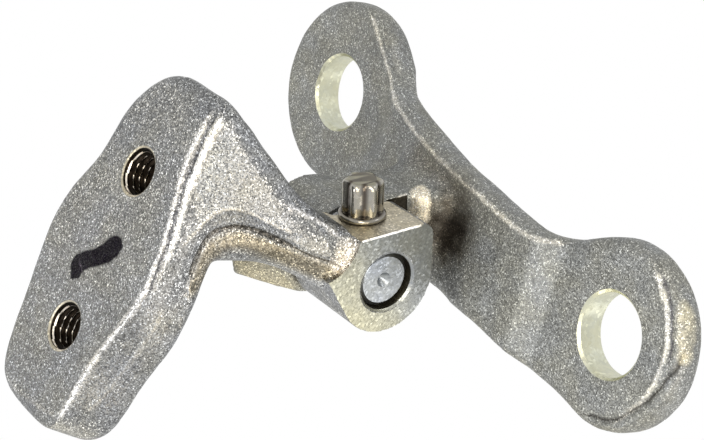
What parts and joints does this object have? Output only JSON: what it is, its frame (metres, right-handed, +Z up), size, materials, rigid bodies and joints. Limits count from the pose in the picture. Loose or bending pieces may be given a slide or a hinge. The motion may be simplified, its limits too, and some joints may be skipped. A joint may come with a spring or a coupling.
{
  "type": "car door hinge",
  "caption": "Forged car door hinge: a cranked pillar leaf with bolt tabs and a door leaf with tapped holes turn about a vertical pin that a cross screw locks.",
  "frame": {"origin": "middle of the two pillar holes, on the pillar face", "axes": "+Z up along the hinge pin as fitted on the car, +Y out of the pillar face into the car's pillar, +X across the strap"},
  "size_m": [0.072, 0.0681, 0.1128],
  "materials": {
    "forging": "zinc-plated steel forging, blasted grain with a faint yellow passivation",
    "pin": "turned steel, bright zinc plate",
    "bush": "plain bronze bearing bush",
    "screw": "cold-headed steel, bright zinc plate"
  },
  "bodies": {
    "pillar": {"pillar_leaf": "forging", "bush": "bush"},
    "door": {"door_leaf": "forging", "hinge_pin": "pin", "lock_screw": "screw"}
  },
  "joints": [
    {"name": "door_swing", "type": "hinge", "parent": "pillar", "child": "door", "pos_m": [0.0117, -0.023, 0], "axis": [0, 0, 1], "range_deg": [0, 70]}
  ]
}
